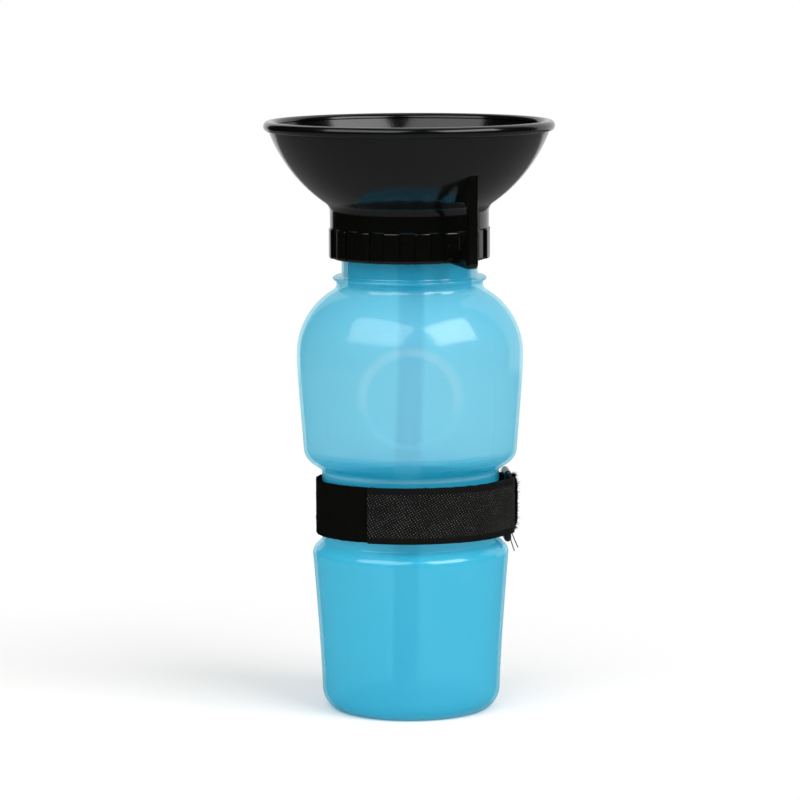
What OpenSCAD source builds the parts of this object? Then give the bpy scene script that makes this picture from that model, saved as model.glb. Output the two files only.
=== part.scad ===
// Dog travel water bottle: a soft squeeze bottle with a drinking bowl screwed on its neck.
// Squeezing the bottle drives water up the dip tube and out of the post in the bowl's floor,
// and letting go draws it back. A hook-and-loop strap sits in the bottle's waist.
//
// Millimetres, +Z up, origin at the centre of the foot. The front (-Y) is the side with the
// thumb panel, and directions round the axis are counted from the front towards +X.

/* [Bottle] */
// Radius at which the flat foot ends
foot_r = 28.2; // [26:0.1:29.5]
// Radius of the lower body just above its foot
lower_r = 32.55; // [31:0.05:34]
// Radius of the lower body at its top
lower_top_r = 35.8; // [34.6:0.05:37]
// Height of the lower body, from the floor to the waist
lower_h = 62.3; // [50:0.1:80]
// How far the waist groove is set in from the top of the lower body
waist_in = 3.5; // [2.5:0.05:4.5]
// Height of the waist groove
waist_h = 25.9; // [24:0.1:34]
// Radius of the bulb at its lower edge
bulb_low_r = 38.9; // [37:0.05:41]
// Largest radius of the bulb
bulb_r = 41.2; // [39:0.1:46]
// Height of the bulb, from the waist to its widest ring
bulb_h = 42.2; // [36:0.1:60]
// How far below its widest ring the bulb's taper ends
bulb_straight = 4.5; // [2:0.1:10]
// Radius of the rounded shoulder above the bulb
shoulder_round = 26.8; // [25:0.1:32]
// Rounding of the foot's outer edge
foot_round = 8.5; // [6.5:0.1:12]
// Rounding at the top of the lower body
lower_round = 3.5; // [2:0.1:4]
// Rounding of the bulb's lower edge
bulb_round = 6.2; // [4:0.1:7]
// Thickness of the blown wall
wall = 1.2; // [0.8:0.1:1.6]
// How far the middle of the foot is pushed up
push_up = 2.4; // [1:0.1:4]

/* [Thumb panels] */
// Radius of the round panel pressed into the front and the back
panel_r = 18.2; // [10:0.1:18.6]
// Depth of the panel
panel_depth = 0.8; // [0.3:0.1:1.2]
// Height of the panel's middle above the waist
panel_rise = 30.5; // [29:0.5:31.5]

/* [Neck] */
// Radius of the neck outside, under its thread
neck_r = 24.7; // [23.5:0.1:25.2]
// Thickness of the neck's wall round its mouth
lip_w = 2.3; // [2:0.1:6]
// Height of the neck, from its bead to its lip
neck_h = 22.5; // [20:0.1:26]
// Radius of the groove under the bead
neck_root_r = 26.6; // [26.2:0.1:27.2]
// Radius of the bead round the neck
bead_r = 27.95; // [27.6:0.05:29]
// Height of the bead
bead_h = 1.7; // [1.2:0.1:3]
// Height of the groove under the bead, above the shoulder's fillet
root_h = 1.2; // [0.8:0.1:3]

/* [Bowl] */
// Radius of the bowl over its rolled rim
rim_r = 52.7; // [48:0.1:60]
// Depth of the bowl, from its rim down to its floor
bowl_depth = 29.9; // [26:0.1:36]
// Thickness of the bowl's wall
bowl_wall = 1.9; // [1.5:0.1:2.4]
// Thickness of the bowl's floor
floor_t = 2.4; // [2:0.1:3.2]
// Radius of the flank's curve, seen from the side
flank_round = 55.6; // [45:0.1:90]
// Radius of the roll round the rim
roll_r = 1.95; // [1.6:0.05:2.6]

/* [Screw collar] */
// Thickness of the collar's wall
collar_wall = 2.75; // [2.2:0.05:4]
// Depth of the collar, from its ceiling down to its edge
collar_h = 17.6; // [14:0.1:18.5]
// Room between the neck and the collar, for the thread
thread_room = 1.4; // [1.1:0.1:1.8]
// Number of raised finger grips
grip_count = 16; // [8:1:24]
// Share of the way round that the grips cover
grip_share = 0.5; // [0.3:0.05:0.7]
// Height of the grips
grip_h = 11.0; // [6:0.1:12]
// How far a grip stands out from the collar
grip_rise = 0.5; // [0.3:0.05:0.8]
// How far the collar is cut back between the grips
grip_cut = 0.4; // [0.2:0.05:0.5]
// Direction of one grip
grip_dir = -13; // [-20:1:20]

/* [Belt hook] */
// Direction of the hook
hook_dir = 32; // [-180:1:180]
// Width of the hook, round the collar
hook_w = 3.8; // [2.5:0.1:8]
// Distance of the hook's outer face from the axis
hook_r = 43.0; // [41:0.1:47]
// Thickness of the hook's arm
hook_t = 2.4; // [1.8:0.1:3]
// How far the hook hangs below the collar's edge
hook_drop = 1.0; // [0:0.1:3]
// Height of the arm's straight stretch
hook_arm_h = 8.2; // [6:0.1:9]
// Height of the slot's top above the bowl's floor
slot_rise = 2.4; // [1.5:0.1:3]
// Rounding of the slot's upper corner
slot_round = 2.4; // [1:0.1:3]
// How far the ramp under the arm runs in from the outer face
ramp_in = 6.4; // [5:0.1:7]
// Height of the ramp
ramp_h = 5.8; // [4.5:0.1:6.5]
// Gap between the hook's nose and the grips
nose_gap = 0.5; // [0.3:0.1:2]

/* [Neck seal] */
// Thickness of the seal ring
seal_t = 1.4; // [1:0.1:2.5]
// How far inside the mouth's edge the seal ring reaches
seal_reach = 1.4; // [0:0.1:2]

/* [Outlet] */
// Radius of the post that stands in the bowl's floor
post_r = 5.6; // [5.3:0.1:6.5]
// Height of the post
post_h = 7.7; // [7:0.1:10]
// Radius of the channel through the post
channel_r = 3.75; // [3.3:0.05:3.9]
// Radius of the pin that closes the cap's hole
pin_r = 1.9; // [1.4:0.1:2.2]
// How far the pin stands out of the post
pin_out = 2.0; // [1.5:0.1:2.4]
// Thickness of the three ribs that hold the pin
rib_t = 1.2; // [0.8:0.1:1.6]
// Radius of the cap's grip
cap_r = 9.5; // [8.8:0.1:12]
// Radius of the cap's neck
cap_neck_r = 7.8; // [7.6:0.1:8.4]
// Thickness of the cap's top
cap_top_t = 2.4; // [1.5:0.1:3]
// Height of the cap's grip
cap_grip_h = 3.4; // [2.6:0.1:4]
// How far the cap pulls up
cap_travel = 4.0; // [2.5:0.1:4.2]
// Running gap between the cap and the post or its pin
cap_fit = 0.06; // [0.02:0.01:0.1]

/* [Dip tube] */
// Radius of the tube outside
tube_r = 4.75; // [4.4:0.05:5.2]
// Thickness of the tube's wall
tube_wall = 1.0; // [0.6:0.1:1.2]
// Gap between the tube's foot and the bottle's floor
tube_gap = 2.8; // [1:0.1:8]
// Slope of the cut across the tube's foot
tube_cut = 25; // [0:1:45]
// Depth of the socket that holds the tube
socket_h = 12; // [8:0.5:15]
// Thickness of the socket's wall
socket_wall = 2.0; // [1.4:0.1:2.6]
// Gap between the tube and its socket
tube_fit = 0.05; // [0.01:0.01:0.1]

/* [Strap] */
// Width of the tape
tape_w = 20.3; // [15:0.1:20.6]
// Thickness of the loop tape with its pile
band_t = 2.1; // [1.5:0.1:2.3]
// Thickness of the hook tape
tail_t = 1.2; // [0.8:0.1:1.5]
// Gap between the layers, and between the band and the bottle
strap_gap = 0.3; // [0.2:0.05:0.5]
// How far the strap's middle sits below the waist's middle
strap_drop = 0.9; // [0:0.1:1.2]
// Direction of the hook tape's free end
tail_end_dir = -25.4; // [-60:0.1:30]
// Length of the doubled and sewn end of the loop tape, in degrees round the bottle
sewn_turn = 32; // [24:1:60]

/* [Strap ring] */
// Direction of the ring's middle
ring_dir = 94; // [60:1:120]
// Length of the ring round the bottle
ring_l = 13.2; // [12.8:0.1:16]
// Radius of the ring's bars
bar_r = 1.3; // [1.1:0.05:1.4]
// Room for the tape in the ring, above and below
ring_room = 0.4; // [0.3:0.1:0.8]
// Gap between the ring's bars and the bottle's waist
ring_gap = 1.6; // [1.6:0.1:2.2]
// Running gap between a bar and the tape folded round it
bar_fit = 0.05; // [0.02:0.01:0.1]

/* [Hidden] */
$fn = 96;
eps = 0.01;
blue = [0.35, 0.74, 0.88, 0.6];
black = [0.08, 0.08, 0.085];

// Heights of the bottle, stacked up from the floor, and the bends at its waist
waist_r = lower_top_r - waist_in;
waist_z = lower_h;
bulb_z = waist_z + waist_h;
lower_bend = 45;
bulb_bend = 55;
lower_top_z = waist_z - bend_h(lower_top_r, lower_round, lower_bend);
bulb_low_z = bulb_z + bend_h(bulb_low_r, bulb_round, bulb_bend);
shoulder_z = bulb_z + bulb_h;
shoulder_in = bulb_r - shoulder_round;
root_fillet = 3;
fillet_r = neck_root_r + root_fillet;
shoulder_end = acos((fillet_r - shoulder_in) / (shoulder_round + root_fillet));
shoulder_top = shoulder_z + shoulder_round * sin(shoulder_end);
root_z = shoulder_z + (shoulder_round + root_fillet) * sin(shoulder_end);
bead_z = root_z + root_h;
neck_z = bead_z + bead_h;
lip_z = neck_z + neck_h;

// The mouth, and the hole in the seal on it
mouth_r = neck_r - lip_w;
seal_in_r = mouth_r - seal_reach;

// Heights of the bowl
ceiling_z = lip_z + seal_t;
floor_z = ceiling_z + floor_t;
post_z = floor_z + post_h;
rim_z = floor_z + bowl_depth;
collar_z = ceiling_z - collar_h;
collar_bore_r = neck_r + thread_room;
collar_r = collar_bore_r + collar_wall;

// ---- Shared curves ----

function arc(c, r, a0, a1, n) =
    [for (i = [0:n]) let (a = a0 + (a1 - a0) * i / n) c + r * [cos(a), sin(a)]];

// Centre of the circle of radius r through p and q, on the left of the way from p to q
function arc_centre(p, q, r) =
    let (d = q - p, h = sqrt(r * r - d * d / 4)) (p + q) / 2 + [-d[1], d[0]] / norm(d) * h;

function angle_of(c, p) = atan2(p[1] - c[1], p[0] - c[0]);

// A point at radius r and direction a, which is counted from the front towards +X
function at(r, a) = [r * sin(a), -r * cos(a)];

// ---- Bottle ----

lower_swell = 1.25;
foot_ring = 5;
foot_in = lower_r - foot_round;
foot_c = [foot_in, sqrt(foot_round * foot_round - pow(foot_r - foot_in, 2))];
wall_steps = 6;
lip_round = 0.6;

// Height from the waist's edge to the centre of a rounding that bends by a towards the waist
function bend_h(r, round_r, a) =
    round_r * sin(a) + (r - round_r + round_r * cos(a) - waist_r) / tan(a);

// The outline from the foot to the neck's root, set in from the outside by t
function body_outline(t) = concat(
    [[0, push_up + t], [foot_r - foot_ring, t]],
    arc(foot_c, foot_round - t, angle_of(foot_c, [foot_r, 0]), 0, 6),
    [for (i = [1:wall_steps]) let (u = i / (wall_steps + 1))
        [lower_r + (lower_top_r - lower_r) * pow(u, lower_swell) - t,
         foot_c[1] + (lower_top_z - foot_c[1]) * u]],
    arc([lower_top_r - lower_round, lower_top_z], lower_round - t, 0, lower_bend, 6),
    [[waist_r - t, waist_z - t / 2], [waist_r - t, bulb_z + t / 2]],
    arc([bulb_low_r - bulb_round, bulb_low_z], bulb_round - t, -bulb_bend, 0, 8),
    [[bulb_r - t, shoulder_z - bulb_straight]],
    arc([shoulder_in, shoulder_z], shoulder_round - t, 0, shoulder_end, 14));

// The groove, the bead and the neck above the shoulder
function neck_outline() = concat(
    arc([fillet_r, root_z], root_fillet, 180 + shoulder_end, 180, 4),
    [[neck_root_r, bead_z]],
    arc([bead_r - bead_h / 2, bead_z + bead_h / 2], bead_h / 2, -90, 90, 6),
    [[neck_r, neck_z], [neck_r, lip_z - lip_round], [neck_r - lip_round, lip_z], [0, lip_z]]);

module body_solid(t) {
    rotate_extrude() polygon(concat(body_outline(t), [[0, shoulder_top]]));
}

// What lies outside the body set in by t, within the round panels on the front and the back
module outside_panels(t) {
    difference() {
        translate([0, 0, bulb_z + panel_rise])
            rotate([90, 0, 0])
                cylinder(r = panel_r, h = 2 * bulb_r + 10, center = true);
        body_solid(t);
    }
}

module bottle() {
    color(blue)
    difference() {
        rotate_extrude() polygon(concat(body_outline(0), neck_outline()));
        outside_panels(panel_depth);
        difference() {
            union() {
                body_solid(wall);
                translate([0, 0, shoulder_z])
                    cylinder(r = mouth_r, h = lip_z - shoulder_z + 1);
            }
            outside_panels(wall + panel_depth);
        }
    }
}

// ---- Neck seal ----

module neck_seal() {
    room = 0.2;
    seal_r = collar_bore_r - room;
    color("dimgray")
    translate([0, 0, lip_z])
        difference() {
            cylinder(r = seal_r, h = seal_t);
            translate([0, 0, -1]) cylinder(r = seal_in_r, h = seal_t + 2);
        }
}

// ---- Bowl ----

flank_drop = 0.95;
flank_low = [collar_r, floor_z - flank_drop];
flank_high = [rim_r - roll_r, rim_z - 2 * roll_r];
flank_c = arc_centre(flank_low, flank_high, flank_round);
floor_round = 3;

// Height of the bowl's outside at radius r
function flank_z(r) = flank_c[1] - sqrt(flank_round * flank_round - pow(r - flank_c[0], 2));

module flank_solid() {
    a_low = angle_of(flank_c, flank_low);
    a_high = angle_of(flank_c, flank_high);
    rotate_extrude()
        polygon(concat([[0, flank_low[1] - 1]],
                       arc(flank_c, flank_round, a_low, a_high, 20),
                       [[rim_r - roll_r, rim_z - roll_r], [0, rim_z - roll_r]]));
}

// The inside of the dish, from the floor up past the rim
module dish() {
    r_in = flank_round - bowl_wall;
    fillet_z = floor_z + floor_round;
    fillet_x = flank_c[0] + sqrt(pow(r_in - floor_round, 2) - pow(flank_c[1] - fillet_z, 2));
    fillet_c = [fillet_x, fillet_z];
    a_join = angle_of(flank_c, fillet_c);
    a_top = asin((rim_z - flank_c[1]) / r_in);
    rotate_extrude()
        polygon(concat([[0, floor_z]],
                       arc(fillet_c, floor_round, -90, a_join, 4),
                       arc(flank_c, r_in, a_join, a_top, 16),
                       [[0, rim_z]]));
}

module rim_roll() {
    rotate_extrude() translate([rim_r - roll_r, rim_z - roll_r]) circle(r = roll_r, $fn = 48);
}

module collar_outside() {
    cut_r = collar_r - grip_cut;
    edge = 0.7;
    rotate_extrude()
        polygon([[0, collar_z], [cut_r - edge, collar_z], [cut_r, collar_z + edge],
                 [cut_r, collar_z + grip_h], [collar_r, collar_z + grip_h + grip_cut],
                 flank_low, [0, flank_low[1]]]);
}

// One raised finger grip, with a rounded top edge
module grip() {
    root_r = collar_bore_r + collar_wall / 2;
    out_r = collar_r + grip_rise;
    round_r = grip_rise + grip_cut;
    lift = 0.3;
    low = collar_z + lift;
    top = collar_z + grip_h + grip_cut;
    chamfer = 1;
    turn = 360 / grip_count * grip_share;
    rotate([0, 0, -turn / 2])
        rotate_extrude(angle = turn)
            polygon(concat([[root_r, low], [out_r - chamfer, low], [out_r, low + chamfer]],
                           arc([out_r - round_r, top - round_r], round_r, 0, 90, 4),
                           [[root_r, top]]));
}

// The belt hook in profile: the web under the flank, the arm, and the foot that closes the slot
module hook_profile() {
    in_r = hook_r - hook_t;
    nose_r = collar_r + grip_rise + nose_gap;
    nose_round = 1.7;
    toe_low = collar_z + 0.2;
    toe_h = 1;
    toe_slope = [1.2, 0.4];
    gusset = [2, 3];
    low = collar_z - hook_drop;
    corner = 2;
    web_top = flank_z(hook_r) + bowl_wall / 2;
    slot_top = floor_z + slot_rise;
    ramp_top = slot_top - slot_round - hook_arm_h;
    ramp_low = [hook_r - ramp_in, ramp_top - ramp_h];
    polygon(concat(
        [[nose_r, toe_low]],
        arc([hook_r - corner, low + corner], corner, -90, 0, 6),
        [[hook_r, web_top], [collar_r, web_top], [collar_r, slot_top - gusset[1]],
         [collar_r + gusset[0], slot_top]],
        arc([in_r - slot_round, slot_top - slot_round], slot_round, 90, 0, 5),
        [[in_r, ramp_top], ramp_low],
        arc(ramp_low - nose_round * [0.5, 0.95], nose_round, 60, 180, 5),
        [[nose_r, toe_low + toe_h] + toe_slope, [nose_r, toe_low + toe_h]]));
}

module belt_hook() {
    rotate([0, 0, hook_dir - 90])
        rotate([90, 0, 0])
            linear_extrude(height = hook_w, center = true)
                hook_profile();
}

// The hollow post over the tube's socket, with the catch that the cap snaps over
catch_out = 0.4;
catch_r = post_r + catch_out;
catch_h = 1;
catch_slope = 0.5;

module post_outside() {
    foot = [1.2, 0.6];
    edge = [0.6, 0.4];
    rotate_extrude()
        polygon([[0, floor_z - 1], [post_r + foot[0], floor_z - 1], [post_r + foot[0], floor_z],
                 [post_r, floor_z + foot[1]], [post_r, post_z - catch_h - catch_slope],
                 [catch_r, post_z - catch_h], [catch_r, post_z - edge[1]],
                 [catch_r - edge[0], post_z], [0, post_z]]);
}

// The pin that shuts the cap's hole, on ribs across the post's channel
module pin() {
    rib_count = 3;
    rib_dir = 30;
    rib_low = floor_z + 1;
    rib_top = post_z - 2.5;
    edge = 0.4;
    pin_top = post_z + pin_out;
    translate([0, 0, rib_low]) cylinder(r = pin_r, h = pin_top - edge - rib_low);
    translate([0, 0, pin_top - edge]) cylinder(r1 = pin_r, r2 = pin_r - edge, h = edge);
    for (k = [0:rib_count - 1])
        rotate([0, 0, 360 / rib_count * k + rib_dir])
            translate([0, -rib_t / 2, rib_low])
                cube([channel_r + 0.5, rib_t, rib_top - rib_low]);
}

module bowl() {
    socket_r = tube_r + tube_fit + socket_wall;
    color(black)
    union() {
        difference() {
            union() {
                difference() {
                    union() {
                        collar_outside();
                        flank_solid();
                        rim_roll();
                        for (k = [0:grip_count - 1])
                            rotate([0, 0, grip_dir - 90 + 360 / grip_count * k]) grip();
                        belt_hook();
                    }
                    dish();
                    translate([0, 0, collar_z - 5])
                        cylinder(r = collar_bore_r, h = collar_h + 5);
                }
                translate([0, 0, ceiling_z - socket_h])
                    cylinder(r = socket_r, h = socket_h + eps);
                post_outside();
            }
            translate([0, 0, ceiling_z - socket_h - 1])
                cylinder(r = tube_r + tube_fit, h = socket_h + 1);
            translate([0, 0, ceiling_z - 1])
                cylinder(r = channel_r, h = post_z - ceiling_z + 2);
        }
        pin();
    }
}

// ---- Outlet cap ----

module outlet_cap() {
    low_gap = 1;
    top_gap = 0.1;
    low = floor_z + low_gap;
    under = post_z + top_gap;
    top = under + cap_top_t;
    lip_in = post_r + cap_fit;
    lip_slope = 0.45;
    room_r = catch_r + cap_fit;
    lip_top = post_z - catch_h - catch_slope - cap_travel;
    hole_r = pin_r + cap_fit;
    hole_edge = 0.5;
    low_edge = 0.4;
    grip_round = 1;
    top_round = 1.2;
    color([0.12, 0.12, 0.125])
    rotate_extrude()
        polygon(concat(
            [[hole_r, under], [room_r, under], [room_r, lip_top], [lip_in, lip_top - lip_slope],
             [lip_in, low], [cap_neck_r - low_edge, low], [cap_neck_r, low + low_edge],
             [cap_neck_r, top - cap_grip_h - grip_round]],
            arc([cap_r - grip_round, top - cap_grip_h + grip_round], grip_round, -60, 0, 3),
            arc([cap_r - top_round, top - top_round], top_round, 0, 90, 5),
            [[hole_r + hole_edge, top], [hole_r, top - hole_edge]]));
}

// ---- Dip tube ----

module dip_tube() {
    foot_z = push_up + wall + tube_gap;
    color([0.85, 0.92, 0.95, 0.8])
    difference() {
        translate([0, 0, foot_z]) cylinder(r = tube_r, h = ceiling_z - foot_z);
        translate([0, 0, foot_z - 1]) cylinder(r = tube_r - tube_wall, h = ceiling_z - foot_z + 2);
        translate([-tube_r, 0, foot_z])
            rotate([0, -tube_cut, 0])
                translate([-tube_r, -2 * tube_r, -4 * tube_r])
                    cube([8 * tube_r, 4 * tube_r, 4 * tube_r]);
    }
}

// ---- Strap and its ring ----

strap_z = waist_z + waist_h / 2 - strap_drop;
band_in = waist_r + strap_gap;
band_out = band_in + band_t;
tail_in = band_out + strap_gap;
tail_out = tail_in + tail_t;

// The ring is flat, and both upright bars lie at the same distance from the axis
ring_d = waist_r + ring_gap + bar_r;
bar_off = ring_l / 2 - bar_r;
bar_d = norm([ring_d, bar_off]);
bar_turn = atan2(bar_off, ring_d);
front_bar = ring_dir - bar_turn;
rear_bar = ring_dir + bar_turn;
ring_h = tape_w + 2 * ring_room + 4 * bar_r;

// Part of a flat ring, from direction a0 to a1 by way of less than 120 degrees at a time
module sector(r_in, r_out, a0, a1) {
    n = ceil((a1 - a0) / 60);
    difference() {
        intersection() {
            circle(r = r_out, $fn = 128);
            polygon(concat([[0, 0]], [for (i = [0:n]) at(3 * r_out, a0 + (a1 - a0) * i / n)]));
        }
        circle(r = r_in, $fn = 128);
    }
}

module tape(z_mid) {
    translate([0, 0, z_mid - tape_w / 2]) linear_extrude(height = tape_w) children();
}

// The loop tape's swelling from a layer of middle radius r up to the fold round the rear bar
blend_turn = 18;

module fold_blend(fold_r, r) {
    cover = 0.92;
    polygon([at(bar_d, rear_bar), at(bar_d + cover * fold_r, rear_bar),
             at(r, rear_bar + blend_turn), at(r, rear_bar + blend_turn / 2)]);
}

module bar_hole(bar_dir) {
    translate(at(bar_d, bar_dir)) circle(r = bar_r + bar_fit, $fn = 48);
}

module strap_band() {
    fold_r = bar_r + bar_fit + band_t;
    tail_fold_r = bar_r + bar_fit + tail_t;
    front_end = front_bar - asin((tail_fold_r + strap_gap) / band_out);
    rear_start = rear_bar + 2;
    overlap = 0.1;
    color([0.1, 0.1, 0.1])
    tape(strap_z)
        difference() {
            union() {
                sector(band_in, band_out, rear_start, 360 + front_end);
                sector(band_out - overlap, band_out + band_t, rear_start, rear_bar + sewn_turn);
                translate(at(bar_d, rear_bar)) circle(r = fold_r, $fn = 48);
                fold_blend(fold_r, band_out + band_t / 2);
            }
            circle(r = band_in, $fn = 128);
            bar_hole(rear_bar);
        }
}

// The hook tape: its run round the bottle, and its fold round the ring's front bar
module strap_tail() {
    fold_r = bar_r + bar_fit + tail_t;
    fold_start = front_bar - 104;
    fold_end = front_bar + 180 - asin((bar_d - tail_in) / fold_r);
    run_end = front_bar - blend_turn;
    runs = 20;
    color([0.16, 0.16, 0.165])
    tape(strap_z)
        difference() {
            polygon(concat(
                [for (i = [0:runs]) at(tail_out, tail_end_dir + (run_end - tail_end_dir) * i / runs)],
                arc(at(bar_d, front_bar), fold_r, fold_start, fold_end, 18),
                [for (i = [runs:-1:0]) at(tail_in, tail_end_dir + (run_end - tail_end_dir) * i / runs)]));
            bar_hole(front_bar);
        }
}

module strap_ring() {
    color([0.1, 0.1, 0.11])
    rotate([0, 0, ring_dir - 90])
        translate([ring_d, 0, strap_z]) {
            for (side = [-1, 1])
                translate([0, side * bar_off, 0])
                    cylinder(r = bar_r, h = ring_h - 2 * bar_r, center = true, $fn = 48);
            for (side = [-1, 1])
                translate([0, 0, side * (ring_h / 2 - bar_r)]) {
                    rotate([90, 0, 0])
                        cylinder(r = bar_r, h = 2 * bar_off, center = true, $fn = 48);
                    for (end = [-1, 1])
                        translate([0, end * bar_off, 0]) sphere(r = bar_r, $fn = 48);
                }
        }
}

bottle();
neck_seal();
bowl();
outlet_cap();
dip_tube();
strap_band();
strap_ring();
strap_tail();
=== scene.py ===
# Dog travel water bottle: a translucent squeeze bottle with a black drinking bowl screwed on
# its neck and a hook-and-loop strap round its waist. The file follows the bottle as it is put
# together. Sizes are in millimetres unless a name says otherwise, and Blender gets metres.

import bmesh
import bpy
import numpy as np
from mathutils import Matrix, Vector


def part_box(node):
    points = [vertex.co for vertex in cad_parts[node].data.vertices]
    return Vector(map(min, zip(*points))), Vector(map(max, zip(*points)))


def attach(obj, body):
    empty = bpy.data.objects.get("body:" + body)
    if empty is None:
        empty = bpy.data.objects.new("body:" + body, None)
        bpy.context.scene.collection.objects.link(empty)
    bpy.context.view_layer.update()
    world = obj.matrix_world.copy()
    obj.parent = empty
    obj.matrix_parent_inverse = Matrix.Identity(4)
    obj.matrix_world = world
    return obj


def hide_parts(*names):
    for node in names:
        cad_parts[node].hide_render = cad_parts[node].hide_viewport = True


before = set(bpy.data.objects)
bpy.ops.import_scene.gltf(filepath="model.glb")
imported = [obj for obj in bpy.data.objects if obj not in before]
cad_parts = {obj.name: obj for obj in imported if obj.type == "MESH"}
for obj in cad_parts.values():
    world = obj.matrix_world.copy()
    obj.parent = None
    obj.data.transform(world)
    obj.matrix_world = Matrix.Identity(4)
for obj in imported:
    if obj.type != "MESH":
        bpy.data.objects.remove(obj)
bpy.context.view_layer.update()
MM = 0.001


# ---- Blown bottle ----
# One blown shell of soft blue polyethylene, about 1.2 mm thick, that the user squeezes.
# It has a pushed-up foot, a groove for the strap, a pale bulb with a thumb dimple on the
# front and the back, and a beaded neck.

wall = 1.2
foot_r, foot_ring, foot_round, push_up = 28.2, 5.0, 8.5, 2.4
lower_r, lower_top_r, lower_round, lower_bend = 32.55, 35.8, 3.5, 45
lower_swell = 1.25
waist_z, waist_h, waist_in, waist_fillet = 62.3, 25.9, 3.5, 1.0
bulb_low_r, bulb_h, bulb_round, bulb_bend, bulb_straight = 38.9, 42.2, 6.2, 55, 4.5
shoulder_round, root_fillet, neck_root_r, root_h = 26.8, 3.0, 26.6, 1.2
bead_r, bead_h, bead_tip = 27.95, 1.7, 0.6
neck_r, mouth_r = 24.7, 22.4
bulb_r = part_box("bottle")[1].x / MM
lip_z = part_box("bottle")[1].z / MM
waist_r = lower_top_r - waist_in
bulb_z = waist_z + waist_h
shoulder_z = bulb_z + bulb_h
dimple_r, dimple_depth, dimple_z, dimple_edge, dimple_step = 18.6, 0.8, 118.4, 0.15, 0.65


def arc(centre, radius, start, end, steps):
    """Points on a circle, from one angle to another in degrees."""
    turns = np.radians(np.linspace(start, end, steps + 1))
    return [(centre[0] + radius * np.cos(t), centre[1] + radius * np.sin(t)) for t in turns]


def bend_height(r, rounding, bend):
    """Height between the waist's edge and the centre of the rounding next to it."""
    a = np.radians(bend)
    return rounding * np.sin(a) + (r - rounding + rounding * np.cos(a) - waist_r) / np.tan(a)


foot_in = lower_r - foot_round
foot_z = np.sqrt(foot_round**2 - (foot_r - foot_in) ** 2)
foot_start = -np.degrees(np.arcsin(foot_z / foot_round))
lower_top_z = waist_z - bend_height(lower_top_r, lower_round, lower_bend)
bulb_low_z = bulb_z + bend_height(bulb_low_r, bulb_round, bulb_bend)
shoulder_in = bulb_r - shoulder_round
fillet_r = neck_root_r + root_fillet
shoulder_end = np.degrees(np.arccos((fillet_r - shoulder_in) / (shoulder_round + root_fillet)))
root_z = shoulder_z + (shoulder_round + root_fillet) * np.sin(np.radians(shoulder_end))


def body_outline(inset, top_angle):
    """The bottle's outline from its foot up round the shoulder, set in from the outside."""
    dome = [(i / 8, push_up * (1 + np.cos(np.pi * i / 8)) / 2) for i in range(9)]
    points = [(u * (foot_r - foot_ring), z + inset) for u, z in dome]
    points += arc((foot_in, foot_z), foot_round - inset, foot_start, 0, 10)
    for u in np.linspace(0, 1, 14)[1:-1]:
        r = lower_r + (lower_top_r - lower_r) * u**lower_swell
        points.append((r - inset, foot_z + (lower_top_z - foot_z) * u))
    points += arc((lower_top_r - lower_round, lower_top_z), lower_round - inset, 0, lower_bend, 7)
    fillet = (waist_r + waist_fillet, waist_z + waist_fillet * np.tan(np.radians(lower_bend / 2)))
    points += arc(fillet, waist_fillet + inset, 180 + lower_bend, 180, 4)
    fillet = (waist_r + waist_fillet, bulb_z - waist_fillet * np.tan(np.radians(bulb_bend / 2)))
    points += arc(fillet, waist_fillet + inset, 180, 180 - bulb_bend, 4)
    points += arc((bulb_low_r - bulb_round, bulb_low_z), bulb_round - inset, -bulb_bend, 0, 10)
    for z in np.linspace(bulb_low_z, shoulder_z, 46)[1:-1]:
        rise = (z - bulb_low_z) / (shoulder_z - bulb_straight - bulb_low_z)
        share = (rise + 1 - np.sqrt((rise - 1) ** 2 + 0.004)) / 2
        points.append((bulb_low_r + (bulb_r - bulb_low_r) * share - inset, z))
    points += arc((shoulder_in, shoulder_z), shoulder_round - inset, 0, top_angle, 26)
    return points


def loft(rows, round_rows=False, round_columns=True):
    """Points and faces of a skin over rows of points, which may close on themselves."""
    rows = np.asarray(rows, float)
    many, wide = rows.shape[:2]
    faces = []
    for i in range(many if round_rows else many - 1):
        for j in range(wide if round_columns else wide - 1):
            i2, j2 = (i + 1) % many, (j + 1) % wide
            faces.append((i * wide + j, i * wide + j2, i2 * wide + j2, i2 * wide + j))
    return rows.reshape(-1, 3), faces


def turned(outline, around=180, closed=True):
    """A skin turned round the axis from an outline of radii and heights."""
    turns = np.linspace(0, 2 * np.pi, around, endpoint=False)
    rows = [[(r * np.cos(t), r * np.sin(t), z) for t in turns] for r, z in outline]
    return loft(rows, round_rows=closed)


def piece(name, points, faces, finish, body, sharp=40):
    """A smooth mesh piece of the bottle that moves with a body of the frame."""
    mesh = bpy.data.meshes.new(name)
    mesh.from_pydata([tuple(p) for p in np.asarray(points) * MM], [], faces)
    work = bmesh.new()
    work.from_mesh(mesh)
    bmesh.ops.remove_doubles(work, verts=work.verts, dist=1e-7)
    bmesh.ops.recalc_face_normals(work, faces=work.faces)
    work.to_mesh(mesh)
    work.free()
    mesh.polygons.foreach_set("use_smooth", [True] * len(mesh.polygons))
    mesh.set_sharp_from_angle(angle=np.radians(sharp))
    mesh.materials.append(finish)
    made = bpy.data.objects.new(name, mesh)
    bpy.context.scene.collection.objects.link(made)
    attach(made, body)
    return made


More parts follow.
